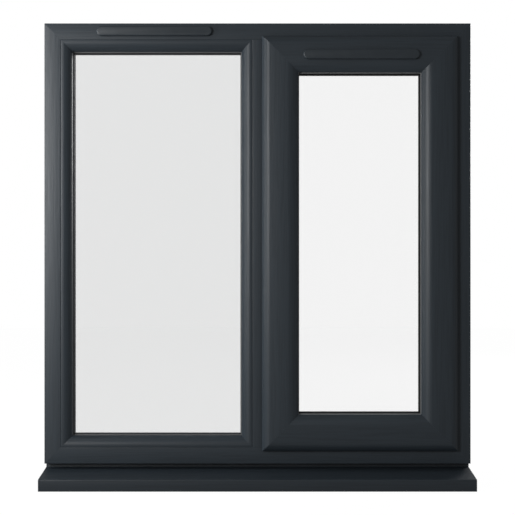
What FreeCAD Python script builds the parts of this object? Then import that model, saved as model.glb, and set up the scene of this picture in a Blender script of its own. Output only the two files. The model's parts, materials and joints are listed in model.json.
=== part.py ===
import FreeCAD, Part
import math
import os
from FreeCAD import Vector

# A two-light casement window: a fixed light beside a side-hung opening sash, on a projecting sill.
# Millimetres. +X is to the right seen from outdoors, +Y runs into the room, +Z is up.
# The origin is on the sill's seating plane, midway along it, under the outdoor face of the frame.

# ---- overall sizes ----
frame_width = 905.0
frame_height = 935.0
frame_depth = 70.0
sill_height = 30.0

# ---- outer frame section; u is the distance in from the outer edge ----
frame_face = 35.0
leg_height = 22.0
leg_depth = 18.0
wall = 2.8
web = 2.0
front_chamber_depth = 13.0
steel_wall = 1.5
steel_gap = 0.5
steel_setback = 45.0
mullion_width = 27.5
mullion_offset = 2.75

# ---- fixed light ----
bead_flat = 5.0
bead_width = 23.0
bead_nose_depth = 14.0
bead_depth = 22.0
bead_rise = 3.2
gasket_depth = 3.0
glass_thick = 4.0
glass_gap = 16.0
unit_edge_gap = 4.5
spacer_inset = 3.0
spacer_width = 8.0
fixed_gasket_in = 14.0
fixed_gasket_out = 25.5
packer_length = 100.0

# ---- sash section; u is the distance in from the flange tip ----
sash_overlap = 7.0
flange_gap = 5.0
flange_depth = 15.0
flange_tip = 4.0
outer_ovolo = 17.0
sash_flat = 38.0
inner_ovolo = 22.0
lip_chamber_in = 7.0
lip_chamber_front = 3.8
lip_chamber_slope = 5.2
sash_cavity = 12.0
sash_body = 36.0
sash_back_gap = 4.0
sash_glass_front = 4.0
sash_bead_width = 23.0
sash_bead_foot = 4.0
sash_bead_flat = 8.0
sash_ovolo_rise = 2.6
sash_bead_rise = 3.0
weather_gasket_back = 2.0
seal_gap = 0.3
fixed_seal_in = 2.0
sash_seal_in = 3.0
outer_seal_lip = 2.0
inner_seal_lip = 1.5

# ---- friction stays ----
long_arm = 141.4
long_arm_angle = 3.3
short_arm = 53.7
short_arm_angle = 17.7
heel_from_wall = 16.7
track_line = 20.0
track_width = 20.0
track_height = 5.4
track_wall = 1.2
track_slot = 9.0
shoe_gap = 0.1
plate_thick = 2.5
plate_gap = 0.3
link_width = 15.0
arm_width = 14.0
pivot_radius = 3.0
pivot_gap = 0.05
rivet_head_radius = 5.0
rivet_head = 1.0
track_ahead = 18.0
track_behind = 16.0
track_seat = 7.0
arm_screw_length = 12.0

# ---- espagnolette lock ----
lock_line = 30.0
spindle_in = 23.5
bar_end_gap = 89.5
bar_width = 10.0
bar_thick = 3.0
faceplate_width = 18.0
faceplate_thick = 2.5
gear_module = 1.5
gear_teeth = 11
gear_addendum = 0.9
gear_dedendum = 1.3
gear_backlash = 0.25
gear_width = 10.0
pressure_angle = 20.0
rack_teeth_below = 5
rack_teeth_above = 8
cam_from_end = 60.0
cam_radius = 4.5
cam_stem_radius = 3.0
cam_reach = 8.0
keep_base = 2.5
keep_length = 46.0
keep_width = 20.0
keep_lip = 10.0
keep_reach = 7.5
case_length = 130.0
case_wall = 1.0
case_slot_gap = 0.6
pocket_wall = 1.3
keep_lip_thick = 3.5
keep_screw_inset = 6.0
keep_screw_length = 8.0
faceplate_overrun = 30.0
cam_slot_gap = 0.4

# ---- handle ----
base_width = 19.0
base_length = 128.0
base_depth = 10.0
base_screw_share = 0.36
base_screw_sunk = 2.0
handle_screw_length = 24.0
hub_radius = 7.0
hub_depth = 22.0
lever_length = 118.0
lever_width = 17.0
lever_depth = 9.0
lever_standoff = 3.0
lever_taper = 0.7
spindle_socket = 14.0
spindle_tail = 4.0
button_floor = 4.3
button_stand = 2.0
keyway_length = 5.0
keyway_width = 1.0
spindle_side = 7.0
button_radius = 2.6
button_travel = 2.5
barrel_radius = 4.0
barrel_drop = 22.0

# ---- trickle vents ----
vent_length = 246.0
canopy_height = 21.0
canopy_depth = 8.0
canopy_wall = 1.5
vent_slot_length = 200.0
vent_slot_height = 12.0
head_vent_x = -219.0
head_vent_drop = 17.0
sash_vent_x = 219.0
sash_vent_drop = 41.0
vent_body_depth = 12.0
vent_body_height = 22.0
vent_body_wall = 2.5
flap_thick = 2.0
flap_gap = 0.4
flap_pin_radius = 1.2
flap_pin_inset = 2.2
flap_knuckle = 1.9
flap_lip_half = 20.0
flap_lip_reach = 4.5
flap_lip_thick = 2.5
vent_body_shorter = 8.0
hood_ports = 6
hood_port_half = 14.0

# ---- sill ----
sill_projection = 80.0
sill_slope_start = 10.0
sill_slope_end = 19.6
sill_step = 25.0
sill_nose_drop = 15.0
sill_nose_width = 18.0
sill_cap_thick = 3.0
sill_wall = 3.0

# ---- fixings ----
fixing_radius = 4.0
fixing_spacing = 300.0
screw_radius = 2.0
screw_head_radius = 3.8
screw_gap = 0.05
track_screw_grip = 2.0

# ---- values that follow ----
frame_left = -frame_width / 2
frame_right = frame_width / 2
frame_bottom = sill_height
frame_top = sill_height + frame_height
leg_front = frame_depth - leg_depth
leg_top = frame_face + leg_height
mullion_left = mullion_offset - mullion_width / 2
mullion_right = mullion_offset + mullion_width / 2
frame_rect = (frame_left, frame_bottom, frame_right, frame_top)
rebate_bottom = frame_bottom + frame_face
rebate_top = frame_top - frame_face
fixed_rect = (frame_left + frame_face, rebate_bottom, mullion_left, rebate_top)
vent_rect = (mullion_right, rebate_bottom, frame_right - frame_face, rebate_top)
sash_rect = (
    vent_rect[0] - sash_overlap,
    vent_rect[1] - sash_overlap,
    vent_rect[2] + sash_overlap,
    vent_rect[3] + sash_overlap,
)
body_start = sash_overlap + sash_cavity
body_end = body_start + sash_body
flange_back = -flange_gap
sash_front = flange_back - flange_depth
sash_back = leg_front - sash_back_gap
nose_start = outer_ovolo + sash_flat
nose_end = nose_start + inner_ovolo
nose_back = sash_glass_front - gasket_depth
sash_glass_back = sash_glass_front + 2 * glass_thick + glass_gap
fixed_glass_front = bead_depth + gasket_depth
fixed_glass_back = fixed_glass_front + 2 * glass_thick + glass_gap
stay_mid = (rebate_bottom + rebate_top) / 2
handle_above_seat = stay_mid
# The sash plate from elbow to heel mirrors the sum of the two arms, so the shoe keeps to the track's
# straight line while the long arm and short arm turn one way and the sash turns as much the other way.
long_run = long_arm * math.cos(math.radians(long_arm_angle))
long_rise = long_arm * math.sin(math.radians(long_arm_angle))
short_run = short_arm * math.cos(math.radians(short_arm_angle))
short_rise = short_arm * math.sin(math.radians(short_arm_angle))
heel_x = vent_rect[2] - heel_from_wall
elbow_x = heel_x - (long_run - short_run)
anchor_x = elbow_x - long_run
elbow_y = track_line - long_rise
heel_y = elbow_y - (short_rise - long_rise)
shoe_x = heel_x - short_run
sash_edge_x = sash_rect[0] + body_start
sash_edge_top = sash_rect[3] - body_start
spindle_x = sash_edge_x + spindle_in
pitch_radius = gear_module * gear_teeth / 2
rack_line = spindle_x - pitch_radius
bar_travel = pitch_radius * math.pi / 2
bar_length = sash_rect[3] - sash_rect[1] - 2 * bar_end_gap
cam_offset = bar_length / 2 - cam_from_end
head_vent_z = frame_top - head_vent_drop
sash_vent_z = sash_rect[3] - sash_vent_drop


# ---- drawing helpers ----
def wire(outline):
    """A closed wire in the XY plane. Two values are a corner; four are an arc through a point to an end."""
    edges = []
    here = Vector(*outline[0][-2:])
    first = here
    for item in outline[1:]:
        end = Vector(*item[-2:])
        if len(item) == 4:
            edges.append(Part.Arc(here, Vector(*item[:2]), end).toShape())
        else:
            edges.append(Part.LineSegment(here, end).toShape())
        here = end
    if here.distanceToPoint(first) > 1e-6:
        edges.append(Part.LineSegment(here, first).toShape())
    return Part.Wire(edges)


def prism(outline, length, start=0.0):
    """The outline carried straight up +Z from start."""
    face = Part.Face(wire(outline))
    face.translate(Vector(0, 0, start))
    return face.extrude(Vector(0, 0, length))


def rectangle(a0, b0, a1, b1):
    """Corners of a rectangle as an outline."""
    return [(a0, b0), (a1, b0), (a1, b1), (a0, b1)]


def round_ended(width, length):
    """Outline of a bar along X with half-round ends."""
    half, straight = width / 2, (length - width) / 2
    right = (straight + half, 0, straight, half)
    left = (-straight - half, 0, -straight, -half)
    return [(-straight, -half), (straight, -half), right, (-straight, half), left]


def block(x0, x1, y0, y1, z0, z1):
    """A box between two corners."""
    return Part.makeBox(x1 - x0, y1 - y0, z1 - z0, Vector(x0, y0, z0))


def rod(radius, length, start, axis):
    """A cylinder."""
    return Part.makeCylinder(radius, length, Vector(*start), Vector(*axis))


def join(shapes):
    """Fuses touching solids into one."""
    whole = shapes[0]
    if len(shapes) > 1:
        whole = whole.multiFuse(shapes[1:])
    return whole.removeSplitter()


def group(shapes):
    """Keeps separate solids together in one sub-part."""
    return Part.makeCompound(shapes)


def inset(rect, distance):
    """A rectangle drawn in on all four sides."""
    return (rect[0] + distance, rect[1] + distance, rect[2] - distance, rect[3] - distance)


def ring(rect, u0, u1, y0, y1):
    """A flat rectangular ring between two insets of a rectangle."""
    outer = inset(rect, u0)
    inner = inset(rect, u1)
    whole = block(outer[0], outer[2], y0, y1, outer[1], outer[3])
    return whole.cut(block(inner[0], inner[2], y0 - 1, y1 + 1, inner[1], inner[3]))


turns = {"left": 0, "bottom": -90, "right": 180, "head": 90}


def ring_bar(side, rect, outline, chambers, reach, setback=None):
    """One bar of a rectangular ring: the section (u, y), hollowed, then mitred at both ends or cut square."""
    x0, z0, x1, z1 = rect
    corner = {"left": (x0, z0), "bottom": (x1, z0), "right": (x1, z1), "head": (x0, z1)}[side]
    length = z1 - z0 if side in ("left", "right") else x1 - x0
    start = 0.0 if setback is None else setback
    solid = prism(outline, length - 2 * start, start)
    for chamber in chambers:
        solid = solid.cut(prism(chamber, length))
    if setback is None:
        corners = [(0, 0), (reach, reach), (reach, length - reach), (0, length)]
        edge = Part.makePolygon([Vector(u, -200, s) for u, s in corners + corners[:1]])
        solid = solid.common(Part.Face(edge).extrude(Vector(0, 400, 0)))
    solid.rotate(Vector(0, 0, 0), Vector(0, 1, 0), turns[side])
    solid.translate(Vector(corner[0], 0, corner[1]))
    return solid


def bulge(start, end, height):
    """An arc item from start to end, standing off the chord by height on its left side."""
    (a0, b0), (a1, b1) = start, end
    span = math.hypot(a1 - a0, b1 - b0)
    middle_a = (a0 + a1) / 2 - height * (b1 - b0) / span
    middle_b = (b0 + b1) / 2 + height * (a1 - a0) / span
    return (middle_a, middle_b, a1, b1)


def flip(shape):
    """The same piece for the bottom of the sash, mirrored about the middle of the opening."""
    return shape.mirror(Vector(0, 0, stay_mid), Vector(0, 0, 1))


def screw(x, y, z, axis, length):
    """A countersunk screw whose head is flush at the point, running along axis."""
    point = Vector(x, y, z)
    way = Vector(*axis)
    head = Part.makeCone(screw_head_radius, screw_radius, screw_head_radius - screw_radius, point, way)
    shank = Part.makeCylinder(screw_radius, length, point, way)
    return head.fuse(shank)


def screw_hole(x, y, z, axis, length):
    """The hole that a screw fits in."""
    point = Vector(x, y, z)
    way = Vector(*axis)
    wide = screw_head_radius + screw_gap
    thin = screw_radius + screw_gap
    head = Part.makeCone(wide, thin, wide - thin, point, way)
    return head.fuse(Part.makeCylinder(thin, length + 1.0, point, way))


# ---- outer frame ----
def frame_outline():
    return [
        (0, 0),
        (frame_face, 0),
        (frame_face, leg_front),
        (leg_top, leg_front),
        (leg_top, frame_depth),
        (0, frame_depth),
    ]


steel_start = wall + front_chamber_depth + web
steel_end = leg_front - web


def frame_chambers():
    inner = frame_face - wall
    room = [
        (wall, leg_front),
        (inner, leg_front),
        (inner, leg_front + wall),
        (leg_top - wall, leg_front + wall),
        (leg_top - wall, frame_depth - wall),
        (wall, frame_depth - wall),
    ]
    front = rectangle(wall, wall, inner, wall + front_chamber_depth)
    return [front, rectangle(wall, steel_start, inner, steel_end), room]


def head_slot(grow=0.0):
    """The air path routed through the head."""
    half = vent_slot_length / 2 + grow
    rise = vent_slot_height / 2 + grow
    z = head_vent_z
    return block(head_vent_x - half, head_vent_x + half, -1, frame_depth + 1, z - rise, z + rise)


def jamb_holes(side, radius):
    """Three holes for the wall fixings through one jamb."""
    x = frame_left - 1 if side == "left" else frame_right + 1
    way = (1, 0, 0) if side == "left" else (-1, 0, 0)
    holes = []
    for step in (-1, 0, 1):
        z = handle_above_seat + step * fixing_spacing
        holes.append(rod(radius, frame_face + 2, (x, (steel_start + steel_end) / 2, z), way))
    return holes


def sill_screw_places():
    y = (steel_start + steel_end) / 2
    span = frame_width / 2 - 2 * steel_setback
    return [(x, y) for x in (-span, -span / 3, span / 3, span)]


def frame_bar(side):
    bar = ring_bar(side, frame_rect, frame_outline(), frame_chambers(), leg_top + 1)
    if side in ("left", "right"):
        for hole in jamb_holes(side, fixing_radius):
            bar = bar.cut(hole)
    return bar


def track_screw_holes():
    """Blind holes in the head for the screws of the stay track."""
    radius = screw_radius + screw_gap
    start = rebate_top - 0.5
    depth = track_screw_grip + 1.0
    return [rod(radius, depth, (x, track_line, start), (0, 0, 1)) for x in track_screw_places()]


def frame_head():
    head = frame_bar("head").cut(head_slot())
    for hole in track_screw_holes():
        head = head.cut(hole)
    return head


def frame_bottom_rail():
    rail = frame_bar("bottom")
    for hole in track_screw_holes():
        rail = rail.cut(flip(hole))
    for x, y in sill_screw_places():
        rail = rail.cut(rod(screw_radius + screw_gap, wall + 2, (x, y, frame_bottom - 1), (0, 0, 1)))
    return rail


def mullion_outline():
    left, right = mullion_left, mullion_right
    return [
        (left, 0),
        (right, 0),
        (right, leg_front),
        (right + leg_height, leg_front),
        (right + leg_height, frame_depth),
        (left - leg_height, frame_depth),
        (left - leg_height, leg_front),
        (left, leg_front),
    ]


def mullion():
    left, right = mullion_left, mullion_right
    bar = prism(mullion_outline(), frame_height, frame_bottom)
    for side in ("head", "bottom"):
        bar = bar.cut(ring_bar(side, frame_rect, frame_outline(), [], leg_top + 1))
    room = rectangle(left - leg_height + wall, leg_front + wall, right + leg_height - wall, frame_depth - wall)
    front = rectangle(left + wall, wall, right - wall, wall + front_chamber_depth)
    steel = rectangle(left + wall, steel_start, right - wall, steel_end)
    for chamber in (room, front, steel):
        bar = bar.cut(prism(chamber, frame_height, frame_bottom))
    return bar


def tube(a0, b0, a1, b1):
    """Outline and bore of a steel box section that fits a chamber with its gap."""
    g, t = steel_gap, steel_gap + steel_wall
    return rectangle(a0 + g, b0 + g, a1 - g, b1 - g), rectangle(a0 + t, b0 + t, a1 - t, b1 - t)


def frame_reinforcement():
    outer, bore = tube(wall, steel_start, frame_face - wall, steel_end)
    bars = []
    for side in ("left", "bottom", "right", "head"):
        bar = ring_bar(side, frame_rect, outer, [bore], 0, steel_setback)
        if side in ("left", "right"):
            for hole in jamb_holes(side, fixing_radius + 2):
                bar = bar.cut(hole)
        bars.append(bar)
    bars[3] = bars[3].cut(head_slot(1.0))
    for x, y in sill_screw_places():
        bars[1] = bars[1].cut(rod(screw_head_radius + 1.0, frame_face, (x, y, frame_bottom), (0, 0, 1)))
    outer, bore = tube(mullion_left + wall, steel_start, mullion_right - wall, steel_end)
    length = rebate_top - rebate_bottom - 2 * wall
    post = prism(outer, length, rebate_bottom + wall).cut(prism(bore, length, rebate_bottom + wall))
    for hole in keep_screw_holes():
        post = post.cut(hole)
    return group(bars + [post])


def rebate_gasket():
    inner = sash_cavity + 1.0
    return ring(vent_rect, inner, leg_height - 2.0, sash_back + seal_gap, leg_front)


# ---- sill ----
def sill_outline():
    """Side view of the sill as (y, z)."""
    nose = -sill_projection
    back_of_nose = nose + sill_nose_width
    return [
        (nose, sill_slope_start),
        (sill_step, sill_slope_end),
        (sill_step, sill_height),
        (frame_depth, sill_height),
        (frame_depth, 0),
        (back_of_nose + 4, 0),
        (back_of_nose, -4),
        (back_of_nose, -sill_nose_drop),
        (nose, -sill_nose_drop),
    ]


def sill_chambers():
    t = sill_wall
    nose = -sill_projection
    middle = nose + sill_nose_width
    slope = (sill_slope_end - sill_slope_start) / (sill_projection + sill_step)

    def under(y):
        return sill_slope_start + slope * (y - nose) - t

    low = -sill_nose_drop + t
    front = [(nose + t, low), (middle - t, low), (middle - t, under(middle)), (nose + t, under(nose))]
    centre = [(middle + t, t), (-t / 2, t), (-t / 2, under(0)), (middle + t, under(middle))]
    rear = [(t / 2, t), (sill_step, t), (sill_step, under(sill_step)), (t / 2, under(0))]
    seat = rectangle(sill_step + t, t, frame_depth - t, sill_height - t)
    return [front, centre, rear, seat]


def along_x(outline, x0, x1):
    """An outline (y, z) carried along +X."""
    solid = prism(outline, x1 - x0)
    turned = solid.copy()
    turned.transformShape(FreeCAD.Matrix(0, 0, 1, x0, 1, 0, 0, 0, 0, 1, 0, 0, 0, 0, 0, 1))
    return turned


def sill():
    half = frame_width / 2 - sill_cap_thick
    solid = along_x(sill_outline(), -half, half)
    for chamber in sill_chambers():
        solid = solid.cut(along_x(chamber, -half - 1, half + 1))
    for x, y in sill_screw_places():
        solid = solid.cut(rod(screw_radius + screw_gap, sill_wall + 2, (x, y, sill_height + 1), (0, 0, -1)))
    return solid


def sill_cap(sign):
    half = frame_width / 2
    x0, x1 = sorted((sign * (half - sill_cap_thick), sign * half))
    return along_x(sill_outline(), x0, x1)


def sill_screws():
    shapes = []
    length = wall + sill_wall + 8
    for x, y in sill_screw_places():
        shank = rod(screw_radius, length, (x, y, frame_bottom + wall), (0, 0, -1))
        head = rod(screw_head_radius, 1.2, (x, y, frame_bottom + wall), (0, 0, 1))
        shapes.append(shank.fuse(head))
    return shapes


# ---- fixed light ----
def fixed_bead_outline():
    start, end = (bead_flat, 0), (bead_width, bead_nose_depth)
    return [(0, 0), start, bulge(start, end, -bead_rise), (bead_width, bead_depth), (0, bead_depth)]


def fixed_bead(side):
    t = wall
    inner = bead_width - t - 1
    back = bead_depth - t
    chamber = [(t, t), (bead_flat + 2, t + 1), (inner, bead_nose_depth), (inner, back), (t, back)]
    return ring_bar(side, fixed_rect, fixed_bead_outline(), [chamber], bead_width + 1)


def pane(rect, edge, y0):
    x0, z0, x1, z1 = inset(rect, edge)
    return block(x0, x1, y0, y0 + glass_thick, z0, z1)


def spacer_bar(rect, edge, y0):
    start = edge + spacer_inset
    return ring(rect, start, start + spacer_width, y0, y0 + glass_gap)


def packers(rect, edge, u0, y0, y1):
    """Four blocks that carry the glass unit: two under it and one beside each edge."""
    x0, z0, x1, z1 = inset(rect, u0)
    gap = edge - u0
    blocks = []
    for x in (x0 + packer_length, x1 - packer_length):
        blocks.append(block(x - packer_length / 2, x + packer_length / 2, y0, y1, z0, z0 + gap))
    blocks.append(block(x0, x0 + gap, y0, y1, z1 - 2 * packer_length, z1 - packer_length))
    blocks.append(block(x1 - gap, x1, y0, y1, z0 + packer_length, z0 + 2 * packer_length))
    return group(blocks)


# ---- sash ----
def sash_outline():
    tip = (0, flange_back - flange_tip)
    flat_start = (outer_ovolo, sash_front)
    flat_end = (nose_start, sash_front)
    nose = (nose_end, sash_front + flange_depth - flange_tip)
    return [
        (0, flange_back),
        tip,
        bulge(tip, flat_start, -sash_ovolo_rise),
        flat_end,
        bulge(flat_end, nose, -sash_ovolo_rise),
        (nose_end, nose_back),
        (body_end, nose_back),
        (body_end, sash_back),
        (body_start, sash_back),
        (body_start, flange_back),
    ]


def sash_chambers():
    front = rectangle(body_start, sash_front + wall, body_end, flange_back - wall)
    main = rectangle(body_start + wall, flange_back - wall + web, body_end - wall, sash_back - wall)
    near, far = body_end + web, nose_end - lip_chamber_in
    top = sash_front + lip_chamber_front
    bottom = nose_back - wall
    lip = [(near, top), (far, top + lip_chamber_slope), (far, bottom), (near, bottom)]
    return [front, main, lip]


sash_steel_start = flange_back - wall + web
sash_steel_end = lock_line - bar_width - 6.0


def sash_slot(grow=0.0):
    half = vent_slot_length / 2 + grow
    rise = vent_slot_height / 2 + grow
    z = sash_vent_z
    return block(sash_vent_x - half, sash_vent_x + half, sash_front - 1, sash_back + 1, z - rise, z + rise)


def sash_bar(side):
    return ring_bar(side, sash_rect, sash_outline(), sash_chambers(), nose_end + 1)


def arm_screw_places():
    """Screws of a stay's sash arm, as (x, y) on the edge of the sash."""
    places = []
    for share in (0.3, 0.55, 0.8):
        x = elbow_x + share * (heel_x - elbow_x)
        y = elbow_y + share * (heel_y - elbow_y)
        places.append((x, y))
    return places


def arm_holes():
    z = sash_edge_top + plate_thick
    return [screw_hole(x, y, z, (0, 0, -1), arm_screw_length) for x, y in arm_screw_places()]


def sash_top_rail():
    rail = sash_bar("head").cut(sash_slot())
    for hole in arm_holes():
        rail = rail.cut(hole)
    return rail


def sash_bottom_rail():
    rail = sash_bar("bottom")
    for hole in arm_holes():
        rail = rail.cut(flip(hole))
    return rail


def handle_screw_places():
    z = handle_above_seat
    step = base_length * base_screw_share
    return [(spindle_x, z - step), (spindle_x, z + step)]


def lock_pocket():
    """The groove for the drive bar and the deeper pocket for the gear case, cut into the lock stile's edge."""
    half = bar_length / 2 + bar_travel + 4
    z = handle_above_seat
    y0, y1 = lock_line - bar_width / 2 - 1, lock_line + bar_width / 2 + 1
    groove = block(sash_edge_x - 1, sash_edge_x + bar_thick + 2, y0, y1, z - half, z + half)
    half = case_length / 2 + 0.5
    depth = sash_body - pocket_wall
    y0, y1 = lock_line - faceplate_width / 2 + 1, sash_back - wall
    case = block(sash_edge_x - 1, sash_edge_x + depth, y0, y1, z - half, z + half)
    return groove.fuse(case)


def sash_lock_stile():
    stile = sash_bar("left").cut(lock_pocket())
    spindle = rod(hub_radius, 30, (spindle_x, sash_back + 1, handle_above_seat), (0, -1, 0))
    stile = stile.cut(spindle)
    for x, z in handle_screw_places():
        stile = stile.cut(rod(screw_radius + screw_gap, 30, (x, sash_back + 1, z), (0, -1, 0)))
    return stile


def sash_reinforcement():
    a0, a1 = body_start + wall, body_end - wall
    outer, bore = tube(a0, sash_steel_start, a1, sash_steel_end)
    bars = []
    for side in ("left", "bottom", "right", "head"):
        bars.append(ring_bar(side, sash_rect, outer, [bore], 0, nose_end + 5))
    bars[3] = bars[3].cut(sash_slot(1.0))
    for hole in arm_screw_places():
        top = rod(screw_radius + 1, 30, (hole[0], hole[1], sash_edge_top + 5), (0, 0, -1))
        bars[3] = bars[3].cut(top)
        bars[1] = bars[1].cut(flip(top))
    return group(bars)


def sash_bead(side):
    u0, u1 = body_end, body_end + sash_bead_width
    y0 = sash_glass_back + gasket_depth
    start, end = (u1, y0 + sash_bead_foot), (u0 + sash_bead_flat, sash_back)
    outline = [(u0, y0), (u1, y0), start, bulge(start, end, -sash_bead_rise), (u0, sash_back)]
    t = wall
    top = sash_back - t - 1
    chamber = [(u0 + t, y0 + t), (u1 - t - 2, y0 + t), (u0 + sash_bead_flat - 1, top), (u0 + t, top)]
    return ring_bar(side, sash_rect, outline, [chamber], u1 + 1)


def weather_gasket():
    return ring(vent_rect, seal_gap, sash_cavity / 3, flange_back, weather_gasket_back)


# ---- friction stays ----
track_low = rebate_top - track_height
arm_top = sash_edge_top + plate_thick
link_low = arm_top + plate_gap
link_top = link_low + plate_thick


def bar_plate(x0, y0, x1, y1, width, z, thick):
    """A flat bar with round ends between two pivots."""
    length = math.hypot(x1 - x0, y1 - y0)
    half = width / 2
    outline = [(0, -half), (length, -half), (length + half, 0, length, half), (0, half), (-half, 0, 0, -half)]
    plate = prism(outline, thick)
    plate.rotate(Vector(0, 0, 0), Vector(0, 0, 1), math.degrees(math.atan2(y1 - y0, x1 - x0)))
    plate.translate(Vector(x0, y0, z))
    return plate


def track_ends():
    return anchor_x - track_ahead, shoe_x + track_behind


def stay_track():
    x0, x1 = track_ends()
    half = track_width / 2
    solid = block(x0, x1, track_line - half, track_line + half, track_low, rebate_top)
    inner = half - track_wall
    floor = track_low + track_wall
    roof = rebate_top - track_wall
    solid = solid.cut(block(x0 - 1, x1 + 1, track_line - inner, track_line + inner, floor, roof))
    slot = track_slot / 2
    solid = solid.cut(block(x0 - 1, x1 + 1, track_line - slot, track_line + slot, track_low - 1, floor + 1))
    left, right = anchor_x - track_seat, anchor_x + track_seat
    seat = block(left, right, track_line - inner, track_line + inner, track_low, roof)
    pin = rod(pivot_radius, track_low - link_low + 1.0, (anchor_x, track_line, track_low + 1.0), (0, 0, -1))
    solid = join([solid, seat, pin])
    radius = screw_radius + screw_gap
    for x in track_screw_places():
        solid = solid.cut(rod(radius, track_wall + 2, (x, track_line, rebate_top + 1), (0, 0, -1)))
    return solid


def track_screw_places():
    x0, x1 = track_ends()
    return [x0 + 5, anchor_x + 13, (anchor_x + shoe_x) / 2]


def track_screws():
    """Low pan-head screws that hold the track up into the frame, clear of the sliding shoe."""
    shapes = []
    for x in track_screw_places():
        under = rebate_top - track_wall
        head = rod(screw_head_radius, 1.0, (x, track_line, under), (0, 0, -1))
        shank = rod(screw_radius, track_wall + track_screw_grip, (x, track_line, under), (0, 0, 1))
        shapes.append(head.fuse(shank))
    return shapes


def stay_long_arm():
    plate = bar_plate(anchor_x, track_line, elbow_x, elbow_y, link_width, link_low, plate_thick)
    hole = rod(pivot_radius + pivot_gap, 20, (anchor_x, track_line, link_low - 5), (0, 0, 1))
    return join([plate.cut(hole)] + rivet(elbow_x, elbow_y))


def stay_sash_plate():
    plate = bar_plate(elbow_x, elbow_y, heel_x, heel_y, arm_width, sash_edge_top, plate_thick)
    for x, y in ((elbow_x, elbow_y), (heel_x, heel_y)):
        plate = plate.cut(rod(pivot_radius + pivot_gap, 10, (x, y, sash_edge_top - 2), (0, 0, 1)))
    for x, y in arm_screw_places():
        plate = plate.cut(screw_hole(x, y, arm_top, (0, 0, -1), arm_screw_length))
    return plate


def rivet(x, y):
    """A pivot pin down into the sash plate and its round head on top of an arm."""
    pin = rod(pivot_radius, plate_thick + plate_gap - 0.2, (x, y, link_low), (0, 0, -1))
    head = rod(rivet_head_radius, rivet_head, (x, y, link_top), (0, 0, 1))
    return [pin, head]


def stay_short_arm():
    """The short arm, riveted to the sash plate at the heel, with a round shoe that runs in the track."""
    plate = bar_plate(shoe_x, track_line, heel_x, heel_y, link_width, link_low, plate_thick)
    neck_top = track_low + track_wall + shoe_gap
    neck = rod(track_slot / 2 - shoe_gap, neck_top - link_top, (shoe_x, track_line, link_top), (0, 0, 1))
    disc_radius = track_width / 2 - track_wall - shoe_gap
    disc_height = rebate_top - track_wall - rivet_head - shoe_gap - neck_top
    disc = rod(disc_radius, disc_height, (shoe_x, track_line, neck_top), (0, 0, 1))
    return join([plate, neck, disc] + rivet(heel_x, heel_y))


def arm_screws():
    return [screw(x, y, arm_top, (0, 0, -1), arm_screw_length) for x, y in arm_screw_places()]


# ---- espagnolette lock ----
def faceplate():
    half = bar_length / 2 + faceplate_overrun
    z = handle_above_seat
    y0, y1 = lock_line - faceplate_width / 2, lock_line + faceplate_width / 2
    plate = block(sash_edge_x - faceplate_thick, sash_edge_x, y0, y1, z - half, z + half)
    stem = cam_stem_radius + cam_slot_gap
    for cam_z in cam_places():
        low, high = cam_z - stem - bar_travel, cam_z + stem
        slot = block(sash_edge_x - 5, sash_edge_x + 1, lock_line - stem, lock_line + stem, low, high)
        plate = plate.cut(slot)
    return plate


def cam_places():
    return [handle_above_seat - cam_offset, handle_above_seat + cam_offset]


def rack_teeth():
    """Straight-sided rack teeth on the drive bar, facing the pinion."""
    pitch = math.pi * gear_module
    slope = math.tan(math.radians(pressure_angle))
    half = pitch / 4 - gear_backlash / 4
    teeth = []
    for index in range(-rack_teeth_below, rack_teeth_above):
        z = handle_above_seat + (index + 0.5) * pitch
        tip = half - gear_addendum * slope
        root = half + gear_dedendum * slope
        x0, x1 = rack_line - gear_dedendum, rack_line + gear_addendum
        corners = [(x0, z - root), (x1, z - tip), (x1, z + tip), (x0, z + root)]
        edge = Part.makePolygon([Vector(a, lock_line - gear_width / 2, b) for a, b in corners + corners[:1]])
        teeth.append(Part.Face(edge).extrude(Vector(0, gear_width, 0)))
    return teeth


def drive_bar():
    half = bar_length / 2
    z = handle_above_seat
    y0, y1 = lock_line - bar_width / 2, lock_line + bar_width / 2
    bar = block(sash_edge_x, sash_edge_x + bar_thick, y0, y1, z - half, z + half)
    pitch = math.pi * gear_module
    low, high = z - rack_teeth_below * pitch, z + rack_teeth_above * pitch
    back = block(sash_edge_x, rack_line - gear_dedendum, y0, y1, low, high)
    return join([bar, back] + rack_teeth())


def cams():
    shapes = []
    for z in cam_places():
        x = sash_edge_x
        reach = sash_edge_x - faceplate_thick - 0.3
        stem = rod(cam_stem_radius, cam_reach, (x, lock_line, z), (-1, 0, 0))
        head = rod(cam_radius, cam_reach - (x - reach), (reach, lock_line, z), (-1, 0, 0))
        shapes.append(stem.fuse(head))
    return group(shapes)


def involute_flank(base, radius):
    """The involute's polar angle at a radius, from where it leaves the base circle."""
    ratio = max(radius / base, 1.0)
    lean = math.acos(1.0 / ratio)
    return math.tan(lean) - lean


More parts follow.
